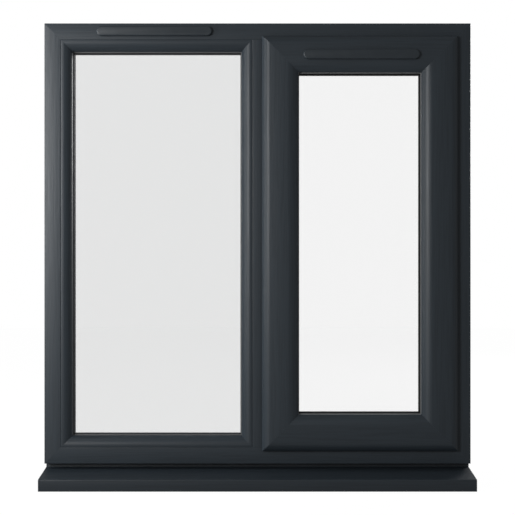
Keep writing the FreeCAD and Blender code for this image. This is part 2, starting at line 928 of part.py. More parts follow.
def pinion():
    """An involute pinion. The tooth that faces the rack at rest lies in the space between two rack teeth."""
    base = pitch_radius * math.cos(math.radians(pressure_angle))
    tip = pitch_radius + gear_addendum
    root = pitch_radius - gear_dedendum
    half_tooth = math.pi / (2 * gear_teeth) - gear_backlash / (4 * pitch_radius)
    at_pitch = involute_flank(base, pitch_radius)
    steps = 5
    flank = []
    for index in range(steps + 1):
        radius = base + (tip - base) * index / steps
        flank.append((radius, half_tooth + at_pitch - involute_flank(base, radius)))
    points = []
    for tooth in range(gear_teeth):
        centre = math.pi + tooth * 2 * math.pi / gear_teeth
        side = [(root, flank[0][1])] + flank
        for radius, angle in side:
            points.append((radius, centre - angle))
        for radius, angle in reversed(side):
            points.append((radius, centre + angle))
    corners = []
    for radius, angle in points:
        x = spindle_x + radius * math.cos(angle)
        corners.append(Vector(x, 0, handle_above_seat + radius * math.sin(angle)))
    edge = Part.makePolygon(corners + corners[:1])
    wheel = Part.Face(edge).extrude(Vector(0, gear_width, 0))
    wheel.translate(Vector(0, lock_line - gear_width / 2, 0))
    return wheel.cut(square_bar(lock_line - gear_width, lock_line + gear_width))


def square_bar(y0, y1):
    """The square of the spindle between two depths."""
    half = spindle_side / 2
    z = handle_above_seat
    return block(spindle_x - half, spindle_x + half, y0, y1, z - half, z + half)


def gear_case():
    z = handle_above_seat
    half = case_length / 2
    depth = sash_body - pocket_wall - 0.2
    x0, x1 = sash_edge_x + 0.5, sash_edge_x + depth
    y0, y1 = lock_line - faceplate_width / 2 + 1.5, sash_back - wall - 0.5
    case = block(x0, x1, y0, y1, z - half, z + half)
    t = case_wall
    inside = block(x0 - 2, x1 - t, y0 + t, y1 - t, z - half + t, z + half - t)
    low, high = lock_line - bar_width / 2 - case_slot_gap, lock_line + bar_width / 2 + case_slot_gap
    slots = block(x0 - 2, x0 + bar_thick + 1.0, low, high, z - half - 1, z + half + 1)
    case = case.cut(inside).cut(slots)
    for x, screw_z in handle_screw_places():
        case = case.cut(rod(screw_radius + screw_gap, 40, (x, y1 + 5, screw_z), (0, -1, 0)))
    bearing = rod(spindle_side * 0.75, 60, (spindle_x, y0 - 5, z), (0, 1, 0))
    return case.cut(bearing)


def keep(z_locked):
    """A keep on the mullion: a plate with a lip that the cam slides behind when locked."""
    x = mullion_right
    half = keep_length / 2
    y0, y1 = lock_line - keep_width / 2, lock_line + keep_width / 2
    plate = block(x, x + keep_base, y0, y1, z_locked - half, z_locked + half)
    lip_y = lock_line - cam_radius - 0.5
    low, high = z_locked - keep_lip / 2, z_locked + keep_lip / 2
    lip = block(x, x + keep_reach, lip_y - keep_lip_thick, lip_y, low, high)
    return join([plate, lip])


def keep_screw_places():
    places = []
    for z in cam_places():
        for step in (-1, 1):
            places.append((lock_line, z - bar_travel + step * (keep_length / 2 - keep_screw_inset)))
    return places


def keep_screw_holes():
    x = mullion_right + keep_base
    return [screw_hole(x, y, z, (-1, 0, 0), keep_screw_length) for y, z in keep_screw_places()]


def lock_keeps():
    shapes = []
    for z in cam_places():
        piece = keep(z - bar_travel)
        for hole in keep_screw_holes():
            piece = piece.cut(hole)
        shapes.append(piece)
    return group(shapes)


def keep_screws():
    x = mullion_right + keep_base
    return [screw(x, y, z, (-1, 0, 0), keep_screw_length) for y, z in keep_screw_places()]


def mullion_with_holes():
    bar = mullion()
    for hole in keep_screw_holes():
        bar = bar.cut(hole)
    return bar


# ---- handle ----
def slot_plate(x, z, width, length, y0, depth):
    """A plate on the room side with round ends above and below."""
    plate = prism(round_ended(width, length), depth)
    plate.rotate(Vector(0, 0, 0), Vector(0, 0, 1), 90)
    plate.rotate(Vector(0, 0, 0), Vector(1, 0, 0), -90)
    plate.translate(Vector(x, y0, z))
    return plate


def handle_base():
    z = handle_above_seat
    base = slot_plate(spindle_x, z, base_width, base_length, sash_back, base_depth)
    base = base.cut(rod(hub_radius + 0.05, 40, (spindle_x, sash_back - 1, z), (0, 1, 0)))
    for x, screw_z in handle_screw_places():
        y = sash_back + base_depth - base_screw_sunk
        base = base.cut(screw_hole(x, y, screw_z, (0, -1, 0), handle_screw_length))
        base = base.cut(rod(screw_head_radius + 0.1, 2 * base_screw_sunk, (x, y, screw_z), (0, 1, 0)))
    return base


def handle_screws():
    y = sash_back + base_depth - base_screw_sunk
    return [screw(x, y, z, (0, -1, 0), handle_screw_length) for x, z in handle_screw_places()]


def handle_lever():
    """A hub that turns in the base, and a lever that hangs down beside the base."""
    z = handle_above_seat
    y0 = sash_back + base_depth
    hub = rod(hub_radius, hub_depth, (spindle_x, sash_back, z), (0, 1, 0))
    lever_y = y0 + lever_standoff
    boss = rod(lever_width / 2, lever_standoff, (spindle_x, y0 + 0.2, z), (0, 1, 0))
    half = lever_width / 2
    tip = half * lever_taper
    length = lever_length
    outline = [(0, -half), (length, -tip), (length + tip, 0, length, tip), (0, half), (-half, 0, 0, -half)]
    blade = prism(outline, lever_depth)
    blade.rotate(Vector(0, 0, 0), Vector(1, 0, 0), 90)
    blade.rotate(Vector(0, 0, 0), Vector(0, 1, 0), 90)
    blade.translate(Vector(spindle_x, lever_y + lever_depth, z))
    lever = join([hub, boss, blade])
    lever = lever.cut(square_bar(sash_back - 5, sash_back + spindle_socket))
    lever = lever.cut(rod(barrel_radius + 0.05, 30, (spindle_x, lever_y - 1, z - barrel_drop), (0, 1, 0)))
    floor = lever_y + button_floor - 0.3
    return lever.cut(rod(button_radius + 0.05, 30, (spindle_x, floor, z), (0, 1, 0)))


def spindle():
    return square_bar(lock_line - gear_width / 2 - spindle_tail, sash_back + spindle_socket)


def lock_barrel():
    """The key barrel in the lever, with its upright keyway."""
    y0 = sash_back + base_depth + lever_standoff
    z = handle_above_seat - barrel_drop
    barrel = rod(barrel_radius, lever_depth + 0.6, (spindle_x, y0, z), (0, 1, 0))
    side, rise = keyway_width / 2, keyway_length / 2
    key = block(spindle_x - side, spindle_x + side, y0 + 4, y0 + 12, z - rise, z + rise)
    return barrel.cut(key)


def lock_button():
    """The push button, standing out of the lever above its travel."""
    floor = sash_back + base_depth + lever_standoff + button_floor
    length = lever_depth - button_floor + button_stand
    return rod(button_radius, length, (spindle_x, floor + button_travel, handle_above_seat), (0, 1, 0))


# ---- trickle vents ----
def canopy(x, z, y):
    """A weather hood with round ends: solid face and hollow behind, open to the air path and below."""
    t = canopy_wall
    shell = prism(round_ended(canopy_height, vent_length), canopy_depth)
    shell = shell.cut(prism(round_ended(canopy_height - 2 * t, vent_length - 2 * t), canopy_depth - t))
    pitch = (vent_length - canopy_height) / (hood_ports + 0.4)
    low = -canopy_height / 2
    for index in range(hood_ports):
        centre = (index - (hood_ports - 1) / 2) * pitch
        left, right = centre - hood_port_half, centre + hood_port_half
        shell = shell.cut(block(left, right, low - 1, low + t + 1, 1.0, canopy_depth - t - 1.0))
    shell.rotate(Vector(0, 0, 0), Vector(1, 0, 0), 90)
    shell.translate(Vector(x, y, z))
    return shell


def vent_body(x, z, y):
    """The room-side housing of a vent, open through, with bearings for the flap at its lower edge."""
    half = vent_length / 2 - vent_body_shorter
    rise = vent_body_height / 2
    t = vent_body_wall
    body = block(x - half, x + half, y, y + vent_body_depth, z - rise, z + rise)
    end = y + vent_body_depth + 1
    body = body.cut(block(x - half + t, x + half - t, y + t, end, z - rise + t, z + rise - t))
    slot, slot_rise = vent_slot_length / 2, vent_slot_height / 2
    body = body.cut(block(x - slot, x + slot, y - 1, y + t + 1, z - slot_rise, z + slot_rise))
    pin_y, pin_z = flap_pin(z, y)
    return body.cut(rod(flap_pin_radius + 0.05, 2 * half + 10, (x - half - 5, pin_y, pin_z), (1, 0, 0)))


def flap_pin(z, y):
    """Where a flap's hinge line is, as (y, z)."""
    floor = z - vent_body_height / 2 + vent_body_wall
    return y + vent_body_depth - flap_pin_inset, floor + flap_pin_inset


def vent_flap(x, z, y):
    """The flap that closes a vent, with a round hinge edge, end pins and a finger lip."""
    inner = vent_length / 2 - vent_body_shorter - vent_body_wall - flap_gap
    pin_y, pin_z = flap_pin(z, y)
    top = z + vent_body_height / 2 - vent_body_wall - flap_gap
    knuckle = rod(flap_knuckle, 2 * inner, (x - inner, pin_y, pin_z), (1, 0, 0))
    plate = block(x - inner, x + inner, pin_y - flap_thick / 2, pin_y + flap_thick / 2, pin_z, top)
    left, right = x - flap_lip_half, x + flap_lip_half
    lip = block(left, right, pin_y, pin_y + flap_lip_reach, top - flap_lip_thick, top)
    reach = inner + flap_gap + vent_body_wall - 0.3
    pins = rod(flap_pin_radius, 2 * reach, (x - reach, pin_y, pin_z), (1, 0, 0))
    return join([knuckle, plate, lip, pins])


# ---- every sub-part ----
def build():
    shapes = {
        "frame_head": frame_head(),
        "frame_bottom_rail": frame_bottom_rail(),
        "frame_left_jamb": frame_bar("left"),
        "frame_right_jamb": frame_bar("right"),
        "mullion": mullion_with_holes(),
        "frame_reinforcement": frame_reinforcement(),
        "rebate_gasket": rebate_gasket(),
        "sill": sill(),
        "sill_end_caps": group([sill_cap(-1), sill_cap(1)]),
    }
    names = {"left": "left", "right": "right", "head": "top", "bottom": "bottom"}
    for side, name in names.items():
        shapes["fixed_bead_" + name] = fixed_bead(side)
    shapes["sash_beads_upright"] = group([sash_bead("left"), sash_bead("right")])
    shapes["sash_beads_level"] = group([sash_bead("head"), sash_bead("bottom")])
    y = fixed_glass_front
    seal_start = unit_edge_gap + fixed_seal_in
    shapes["fixed_outer_pane"] = pane(fixed_rect, unit_edge_gap, y)
    shapes["fixed_inner_pane"] = pane(fixed_rect, unit_edge_gap, y + glass_thick + glass_gap)
    shapes["fixed_spacer_bar"] = spacer_bar(fixed_rect, unit_edge_gap, y + glass_thick)
    shapes["fixed_outer_gasket"] = ring(fixed_rect, fixed_gasket_in, fixed_gasket_out, bead_depth, y)
    shapes["fixed_inner_gasket"] = ring(fixed_rect, seal_start, leg_height - 0.5, fixed_glass_back, leg_front)
    shapes["fixed_glazing_packers"] = packers(fixed_rect, unit_edge_gap, 0, y + 1, fixed_glass_back - 1)
    shapes["sash_top_rail"] = sash_top_rail()
    shapes["sash_bottom_rail"] = sash_bottom_rail()
    shapes["sash_hinge_stile"] = sash_bar("right")
    shapes["sash_lock_stile"] = sash_lock_stile()
    shapes["sash_reinforcement"] = sash_reinforcement()
    edge = body_end + unit_edge_gap
    seal_start = edge + sash_seal_in
    y = sash_glass_front
    shapes["sash_outer_pane"] = pane(sash_rect, edge, y)
    shapes["sash_inner_pane"] = pane(sash_rect, edge, y + glass_thick + glass_gap)
    shapes["sash_spacer_bar"] = spacer_bar(sash_rect, edge, y + glass_thick)
    shapes["sash_outer_gasket"] = ring(sash_rect, seal_start, nose_end + outer_seal_lip, nose_back, y)
    lip = body_end + sash_bead_width + inner_seal_lip
    back = sash_glass_back
    shapes["sash_inner_gasket"] = ring(sash_rect, seal_start, lip, back, back + gasket_depth)
    shapes["sash_glazing_packers"] = packers(sash_rect, edge, body_end, y + 1, sash_glass_back - 1)
    shapes["sash_weather_gasket"] = weather_gasket()
    stays = {
        "stay_track": stay_track(),
        "stay_long_arm": stay_long_arm(),
        "stay_short_arm": stay_short_arm(),
        "stay_sash_plate": stay_sash_plate(),
    }
    for name, shape in stays.items():
        shapes[name + "_top"] = shape
        shapes[name + "_bottom"] = flip(shape)
    frame_fixings = track_screws() + [flip(piece) for piece in track_screws()]
    shapes["frame_screws"] = group(frame_fixings + sill_screws() + keep_screws())
    sash_fixings = arm_screws() + [flip(piece) for piece in arm_screws()]
    shapes["sash_screws"] = group(sash_fixings + handle_screws())
    shapes["lock_faceplate"] = faceplate()
    shapes["lock_gear_case"] = gear_case()
    shapes["lock_drive_bar"] = drive_bar()
    shapes["lock_cams"] = cams()
    shapes["lock_pinion"] = pinion()
    shapes["lock_keeps"] = lock_keeps()
    shapes["handle_base"] = handle_base()
    shapes["handle_lever"] = handle_lever()
    shapes["handle_spindle"] = spindle()
    shapes["handle_button"] = lock_button()
    shapes["handle_barrel"] = lock_barrel()
    for name, x, z, front, back in (
        ("head", head_vent_x, head_vent_z, 0.0, frame_depth),
        ("sash", sash_vent_x, sash_vent_z, sash_front, sash_back),
    ):
        shapes["vent_canopy_" + name] = canopy(x, z, front)
        shapes["vent_body_" + name] = vent_body(x, z, back)
        shapes["vent_flap_" + name] = vent_flap(x, z, back)
    return shapes


def main():
    os.makedirs("parts", exist_ok=True)
    for name, shape in build().items():
        if not shape.isValid():
            print("not valid:", name)
        print(name, len(shape.Solids), round(shape.Volume / 1000.0, 2), "cm3")
        shape.exportStep("parts/" + name + ".step")


main()
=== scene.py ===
"""A casement window seen square-on from outdoors: grey foiled bars, sealed glass, stays, lock and handle.

Every new bar is a profile (u, y) carried along a straight run and cut on the mitre: a profile point
u inward from the outer edge starts u along the run and stops u short of its end. Lengths in the
profiles are millimetres, and the finished meshes are in metres.
"""
import json
import math

import bmesh
import bpy
import numpy as np
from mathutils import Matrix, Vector


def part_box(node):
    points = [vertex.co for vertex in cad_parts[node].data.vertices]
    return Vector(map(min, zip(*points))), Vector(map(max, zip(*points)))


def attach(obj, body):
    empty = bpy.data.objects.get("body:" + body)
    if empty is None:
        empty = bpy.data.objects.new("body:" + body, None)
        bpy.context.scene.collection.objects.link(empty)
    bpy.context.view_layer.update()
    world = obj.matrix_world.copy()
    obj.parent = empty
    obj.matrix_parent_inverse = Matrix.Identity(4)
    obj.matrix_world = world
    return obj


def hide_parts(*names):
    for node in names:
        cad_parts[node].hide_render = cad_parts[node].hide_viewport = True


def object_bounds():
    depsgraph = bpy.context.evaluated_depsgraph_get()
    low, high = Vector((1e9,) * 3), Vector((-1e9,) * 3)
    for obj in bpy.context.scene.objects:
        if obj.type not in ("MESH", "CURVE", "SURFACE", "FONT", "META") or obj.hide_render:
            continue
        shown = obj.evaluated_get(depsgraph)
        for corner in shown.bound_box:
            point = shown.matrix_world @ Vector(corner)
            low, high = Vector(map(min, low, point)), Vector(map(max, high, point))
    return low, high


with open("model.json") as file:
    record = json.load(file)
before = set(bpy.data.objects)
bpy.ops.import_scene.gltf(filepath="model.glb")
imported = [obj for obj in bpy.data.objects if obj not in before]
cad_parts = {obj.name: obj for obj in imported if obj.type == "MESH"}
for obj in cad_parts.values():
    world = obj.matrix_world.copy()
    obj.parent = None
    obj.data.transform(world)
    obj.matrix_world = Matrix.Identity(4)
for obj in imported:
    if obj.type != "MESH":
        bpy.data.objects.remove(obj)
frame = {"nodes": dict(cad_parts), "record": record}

nodes = frame["nodes"]
cad_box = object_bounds()

MM = 0.001
JOINT_LINE = 0.03 * MM
ARC_STEPS = 14
ROUND_STEPS = 5
HOLE_STEPS = 32
HOOD_END_STEPS = 20
HOOD_EDGE_STEPS = 8
FLAT_ANGLE = 28.0
HOOD_FLAT_ANGLE = 40.0


# ---- places read from the frame ----
def rect_of(top, bottom):
    """The outer rectangle (x0, z0, x1, z1) of a ring from its top and bottom bars."""
    top_low, top_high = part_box(top)
    bottom_low, bottom_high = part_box(bottom)
    return (top_low.x, bottom_low.z, top_high.x, top_high.z)


frame_rect = rect_of("frame_head", "frame_bottom_rail")
fixed_rect = rect_of("fixed_bead_top", "fixed_bead_bottom")
sash_rect = rect_of("sash_top_rail", "sash_bottom_rail")


# ---- outlines ----
def arc_points(start, end, bulge):
    """Points of a circle's arc from start to end that stands off its chord by bulge, on the left side.

    With half the chord c and the rise b, the radius is (c*c + b*b) / 2b, and the points go round its
    centre evenly.
    """
    start, end = np.array(start, float), np.array(end, float)
    chord = end - start
    half = np.hypot(*chord) / 2
    along = chord / (2 * half)
    left = np.array([-along[1], along[0]])
    radius = (half * half + bulge * bulge) / (2 * abs(bulge))
    reach = math.asin(min(half / radius, 1.0))
    angle = np.linspace(-reach, reach, ARC_STEPS)[:, None]
    side = math.copysign(1.0, bulge)
    middle = (start + end) / 2 - left * side * (radius - abs(bulge))
    return middle + radius * (np.sin(angle) * along + np.cos(angle) * left * side)


def outline(items):
    """A closed outline in millimetres. An item is (u, y, radius), a corner rounded by the quadratic curve

    (1-t)^2 A + 2t(1-t) C + t^2 B between the points A and B that lie radius before and after the corner C,
    or an array of points taken as they are.
    """
    flat = []
    for item in items:
        if isinstance(item, np.ndarray):
            flat.extend((point, 0.0) for point in item)
        else:
            flat.append((np.array(item[:2], float), item[2]))
    t = np.linspace(0, 1, ROUND_STEPS)[:, None]
    made = []
    for index, (corner, radius) in enumerate(flat):
        if radius == 0:
            made.append(corner[None])
            continue
        before = flat[index - 1][0] - corner
        after = flat[(index + 1) % len(flat)][0] - corner
        a = corner + before / np.hypot(*before) * radius
        b = corner + after / np.hypot(*after) * radius
        made.append((1 - t) ** 2 * a + 2 * t * (1 - t) * corner + t**2 * b)
    return np.vstack(made) * MM


def joined(parts):
    """Several (vertices, faces) pairs as one pair, with each one's faces numbered on from the last."""
    starts = np.cumsum([0] + [len(vertices) for vertices, _ in parts]).tolist()
    faces = [[index + start for index in face] for (_, made), start in zip(parts, starts) for face in made]
    return np.vstack([vertices for vertices, _ in parts]), faces


def piece(name, shape, body, node, material, flat_angle=FLAT_ANGLE):
    """A finished mesh piece in place, made of (vertices, faces), riding on its body in a CAD node's stead."""
    vertices, faces = shape
    mesh = bpy.data.meshes.new(name)
    mesh.from_pydata(vertices.tolist(), [], faces)
    mesh.validate()
    mesh.update()
    thing = bpy.data.objects.new(name, mesh)
    bpy.context.scene.collection.objects.link(thing)
    face_outwards(mesh)
    mesh.shade_smooth()
    mesh.set_sharp_from_angle(angle=math.radians(flat_angle))
    mesh.materials.append(material)
    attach(thing, body)
    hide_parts(node)
    return thing


def face_outwards(mesh):
    """Recalculates the normals of a closed mesh so that they point out."""
    work = bmesh.new()
    work.from_mesh(mesh)
    bmesh.ops.recalc_face_normals(work, faces=work.faces)
    work.to_mesh(mesh)
    work.free()


def run_faces(count, rings):
    """Quads between successive rings of a sweep, with a flat polygon at each end.

    Quad (r, i) joins points i and i + 1 of ring r to the same two points of ring r + 1.
    """
    here = np.arange(count)
    following = np.roll(here, -1)
    ring = np.arange(rings - 1)[:, None] * count
    quads = np.stack([ring + here, ring + following, ring + count + following, ring + count + here], axis=-1)
    first = here[::-1]
    last = here + (rings - 1) * count
    return [*quads.reshape(-1, 4).tolist(), first.tolist(), last.tolist()]


def mitred(profile, rect, side):
    """One bar of a ring: the point (u, y) runs from s = u to s = length - u along the side.

    Left bars run up from the lower left corner, head bars to the right, right bars down, and bottom
    bars to the left.
    """
    x0, z0, x1, z1 = rect
    length = z1 - z0 if side in ("left", "right") else x1 - x0
    s = np.stack([profile[:, 0] + JOINT_LINE, length - profile[:, 0] - JOINT_LINE])
    u = np.broadcast_to(profile[:, 0], s.shape)
    y = np.broadcast_to(profile[:, 1], s.shape)
    if side == "left":
        points = np.stack([x0 + u, y, z0 + s], axis=-1)
    elif side == "right":
        points = np.stack([x1 - u, y, z1 - s], axis=-1)
    elif side == "bottom":
        points = np.stack([x1 - s, y, z0 + u], axis=-1)
    else:
        points = np.stack([x0 + s, y, z1 - u], axis=-1)
    return points.reshape(-1, 3), run_faces(len(profile), 2)


def extruded(profile, axes, start, end):
    """A profile (a, b) carried straight from start to end.

    axes names the world axes of a, b and the run, such as "yzx".
    """
    count = len(profile)
    points = np.zeros((2, count, 3))
    order = ["xyz".index(letter) for letter in axes]
    points[:, :, order[0]] = profile[:, 0]
    points[:, :, order[1]] = profile[:, 1]
    points[0, :, order[2]] = start
    points[1, :, order[2]] = end
    return points.reshape(-1, 3), run_faces(count, 2)


# ---- materials ----
class Nodes:
    """A short way to build a material's node tree."""

    def __init__(self, name):
        self.material = bpy.data.materials.new(name)
        self.material.use_nodes = True
        self.tree = self.material.node_tree
        self.tree.nodes.clear()
        self.out = self.tree.nodes.new("ShaderNodeOutputMaterial")

    def add(self, kind, links=None, **values):
        node = self.tree.nodes.new("ShaderNode" + kind)
        for key, value in values.items():
            setattr(node, key, value)
        for key, value in (links or {}).items():
            socket = node.inputs[key]
            if isinstance(value, bpy.types.NodeSocket):
                self.tree.links.new(value, socket)
            else:
                socket.default_value = value
        return node

    def finish(self, shader):
        self.tree.links.new(shader.outputs[0], self.out.inputs["Surface"])
        return self.material

    def place(self, scale):
        """Object coordinates stretched by scale."""
        where = self.add("TexCoord")
        return self.add("Mapping", {"Vector": where.outputs["Object"], "Scale": scale}).outputs[0]


def foil(name, along, colour, painted_shade_scale=1.0):
    """Woodgrain-embossed foil on a bar: fine long pores and slow figure that run along the bar. A last
    argument below 1 darkens the whole colour as painted shade.
    """
    n = Nodes(name)
    along_grain, across_grain = 9.0, 260.0
    figure_size = 7
    stretch = [across_grain] * 3
    stretch["xyz".index(along)] = along_grain
    pores = n.add("TexNoise", {"Vector": n.place(stretch), "Scale": 1.0, "Detail": 5.0, "Roughness": 0.62})
    slow = [scale / figure_size for scale in stretch]
    figure = n.add("TexNoise", {"Vector": n.place(slow), "Scale": 1.0, "Detail": 3.0, "Distortion": 0.6})
    cuts = n.add("ValToRGB", {"Fac": pores.outputs["Fac"]})
    cuts.color_ramp.elements[0].position = 0.40
    cuts.color_ramp.elements[1].position = 0.56
    tone = n.add("Math", {0: figure.outputs["Fac"], 1: 0.55}, operation="MULTIPLY")
    depth = n.add("Math", {0: cuts.outputs["Color"], 1: 0.45}, operation="MULTIPLY")
    blend = n.add("Math", {0: tone.outputs[0], 1: depth.outputs[0]}, operation="ADD")
    dark = [c * 0.82 * painted_shade_scale for c in colour] + [1]
    light = [c * 1.16 * painted_shade_scale for c in colour] + [1]
    paint = n.add("Mix", {"Factor": blend.outputs[0], "A": dark, "B": light}, data_type="RGBA")
    rough = n.add("MapRange", {"Value": pores.outputs["Fac"], "To Min": 0.46, "To Max": 0.33})
    height = n.add("Bump", {"Height": blend.outputs[0], "Strength": 0.3, "Distance": 0.0004})
    shader = n.add(
        "BsdfPrincipled",
        {
            "Base Color": paint.outputs["Result"],
            "Roughness": rough.outputs[0],
            "Normal": height.outputs[0],
            "Specular IOR Level": 0.42,
        },
    )
    return n.finish(shader)


def speckled(name, colour, roughness, grain, metal=0.0, bump=0.1, spread=0.18):
    """A plain moulded, coated or metal surface with a fine random grain and slow blotches."""
    n = Nodes(name)
    fine = n.add("TexNoise", {"Vector": n.place([grain] * 3), "Scale": 1.0, "Detail": 4.0})
    broad = n.add("TexNoise", {"Vector": n.place([grain / 30] * 3), "Scale": 1.0, "Detail": 2.0})
    both = n.add("Math", {0: fine.outputs["Fac"], 1: broad.outputs["Fac"]}, operation="MULTIPLY")
    dark = [c * (1 - spread) for c in colour] + [1]
    light = [min(c * (1 + spread), 1.0) for c in colour] + [1]
    paint = n.add("Mix", {"Factor": both.outputs[0], "A": dark, "B": light}, data_type="RGBA")
    rough = n.add(
        "MapRange",
        {"Value": broad.outputs["Fac"], "To Min": roughness * 0.8, "To Max": roughness * 1.2},
    )
    height = n.add("Bump", {"Height": fine.outputs["Fac"], "Strength": bump, "Distance": 0.0002})
    links = {
        "Base Color": paint.outputs["Result"],
        "Roughness": rough.outputs[0],
        "Normal": height.outputs[0],
        "Metallic": metal,
    }
    return n.finish(n.add("BsdfPrincipled", links))


def brushed(name, colour, roughness, along):
    """Rolled or brushed metal whose fine lines run along one axis."""
    n = Nodes(name)
    stretch = [1600.0] * 3
    stretch["xyz".index(along)] = 30.0
    lines = n.add("TexNoise", {"Vector": n.place(stretch), "Scale": 1.0, "Detail": 4.0})
    dark = [c * 0.78 for c in colour] + [1]
    paint = n.add("Mix", {"Factor": lines.outputs["Fac"], "A": dark, "B": [*colour, 1]}, data_type="RGBA")
    rough = n.add(
        "MapRange",
        {"Value": lines.outputs["Fac"], "To Min": roughness * 0.7, "To Max": roughness * 1.4},
    )
    height = n.add("Bump", {"Height": lines.outputs["Fac"], "Strength": 0.15, "Distance": 0.0001})
    links = {
        "Base Color": paint.outputs["Result"],
        "Roughness": rough.outputs[0],
        "Normal": height.outputs[0],
        "Metallic": 1.0,
    }
    return n.finish(n.add("BsdfPrincipled", links))


def pane_glass(name, tint):
    """Float glass: clear with a slight tint, and a mirror sheen that grows at low angles.

    The mirrored part is 0.017 + 0.95 * (1 - cos(angle))**5, the same from both sides of a pane.
    """
    n = Nodes(name)
    wave = n.add("TexNoise", {"Vector": n.place([3.0, 3.0, 3.0]), "Scale": 1.0, "Detail": 1.0})
    height = n.add("Bump", {"Height": wave.outputs["Fac"], "Strength": 0.02, "Distance": 0.001})
    through = n.add("BsdfTransparent", {"Color": [*tint, 1]})
    sheen = n.add("BsdfGlossy", {"Color": [1, 1, 1, 1], "Roughness": 0.015, "Normal": height.outputs[0]})
    facing = n.add("LayerWeight", {"Blend": 0.5})
    steep = n.add("Math", {0: facing.outputs["Facing"], 1: 5.0}, operation="POWER")
    share = n.add("Math", {0: steep.outputs[0], 1: 0.95, 2: 0.017}, operation="MULTIPLY_ADD")
    return n.finish(n.add("MixShader", {0: share.outputs[0], 1: through.outputs[0], 2: sheen.outputs[0]}))


GREY = (0.0285, 0.0375, 0.0465)
foils = {axis: foil("grey_foil_along_" + axis, axis, GREY) for axis in "xz"}
# The sill is the same grey foil darkened to 0.8: painted shade on its top and front.
painted_shade_sill_foil = foil("grey_foil_sill_painted_shade", "x", GREY, 0.8)
rubber = speckled("black_seal", (0.012, 0.0125, 0.0135), 0.55, 900.0)
# Seal lips: a grey lip made pale to paint the highlight line along each glass edge. The sash's paler copy
# paints its brighter line.
fixed_lip_painted_highlight = speckled("fixed_seal_lip_painted_highlight", (0.21, 0.215, 0.22), 0.5, 900.0, spread=0.05)
sash_lip_painted_highlight = speckled("sash_seal_lip_painted_highlight", (0.36, 0.365, 0.37), 0.5, 900.0, spread=0.05)
moulded = speckled("grey_moulded_plastic", (0.0265, 0.0352, 0.0435), 0.4, 1400.0, bump=0.12)
coated = speckled("grey_powder_coat", (0.035, 0.041, 0.047), 0.36, 2200.0, bump=0.2)
black_tube = speckled("black_spacer", (0.016, 0.016, 0.017), 0.6, 1500.0)
blue_plastic = speckled("blue_packer", (0.03, 0.13, 0.42), 0.35, 800.0)
stainless = brushed("stainless_strip", (0.58, 0.58, 0.57), 0.3, "x")
zinc = brushed("zinc_plated_steel", (0.52, 0.52, 0.5), 0.34, "z")
galvanised = speckled("galvanised_steel", (0.5, 0.51, 0.52), 0.4, 300.0, metal=1.0, spread=0.3)
fixed_glass = pane_glass("fixed_light_glass", (0.950, 0.951, 0.951))
sash_glass = pane_glass("sash_glass", (0.985, 0.985, 0.985))


# ---- the window's bars ----
FRAME_DEPTH, FRAME_FACE, LEG, LEG_FRONT = 70.0, 35.0, 22.0, 52.0
SOFT, PLAIN, TIGHT = 1.6, 1.0, 0.6
FRAME_BARS = {
    "left": "frame_left_jamb",
    "right": "frame_right_jamb",
    "head": "frame_head",
    "bottom": "frame_bottom_rail",
}


def frame_profile():
    """The bar's outer shape: a box with a leg on its room side and a softly rounded outdoor arris."""
    return outline(
        [
            (0, 0, PLAIN),
            (FRAME_FACE, 0, SOFT),
            (FRAME_FACE, LEG_FRONT, TIGHT),
            (FRAME_FACE + LEG, LEG_FRONT, TIGHT),
            (FRAME_FACE + LEG, FRAME_DEPTH, SOFT),
            (0, FRAME_DEPTH, PLAIN),
        ]
    )


def bore_holes(bar, side):
    """Cuts the wall-fixing holes through a jamb: the record's outer two, and one midway between them."""
    pattern = [m for m in frame["record"]["mounts"] if m["name"] == "jamb_fixings_" + side][0]
    x, y, z = pattern["pos_m"]
    radius = pattern["dims"]["hole_r_mm"] * MM
    pitch = pattern["dims"]["spacing_y_mm"] / 2 * MM
    overrun = 2.0
    inward = 1 if side == "left" else -1
    ends = sorted((x - inward * overrun * MM, x + inward * (FRAME_FACE + overrun) * MM))
    angle = np.linspace(0, 2 * math.pi, HOLE_STEPS, endpoint=False)
    circle = np.stack([y + radius * np.cos(angle), radius * np.sin(angle)], axis=1)
    vertices, faces = joined([extruded(circle + [0, z + step * pitch], "yzx", *ends) for step in (-1, 0, 1)])
    mesh = bpy.data.meshes.new("fixing_drill_" + side)
    mesh.from_pydata(vertices.tolist(), [], faces)
    face_outwards(mesh)
    drill = bpy.data.objects.new("fixing_drill_" + side, mesh)
    bpy.context.scene.collection.objects.link(drill)
    cut = bar.modifiers.new("fixing_holes", "BOOLEAN")
    cut.object = drill
    cut.operation = "DIFFERENCE"
    bake_modifiers(bar)
    bpy.data.objects.remove(drill)


def bake_modifiers(thing):
    """Turns a piece's modifiers into its mesh."""
    bpy.context.view_layer.update()
    graph = bpy.context.evaluated_depsgraph_get()
    made = bpy.data.meshes.new_from_object(thing.evaluated_get(graph))
    thing.modifiers.clear()
    thing.data = made


def axis_of(side):
    return "z" if side in ("left", "right") else "x"


def make_bars(bars, profile, rect, body):
    """Four mitred foiled bars in place of their CAD nodes, given as side: node."""
    return {
        side: piece(node + "_foiled", mitred(profile, rect, side), body, node, foils[axis_of(side)])
        for side, node in bars.items()
    }


def make_frame():
    bars = make_bars(FRAME_BARS, frame_profile(), frame_rect, "frame")
    bore_holes(bars["left"], "left")
    bore_holes(bars["right"], "right")


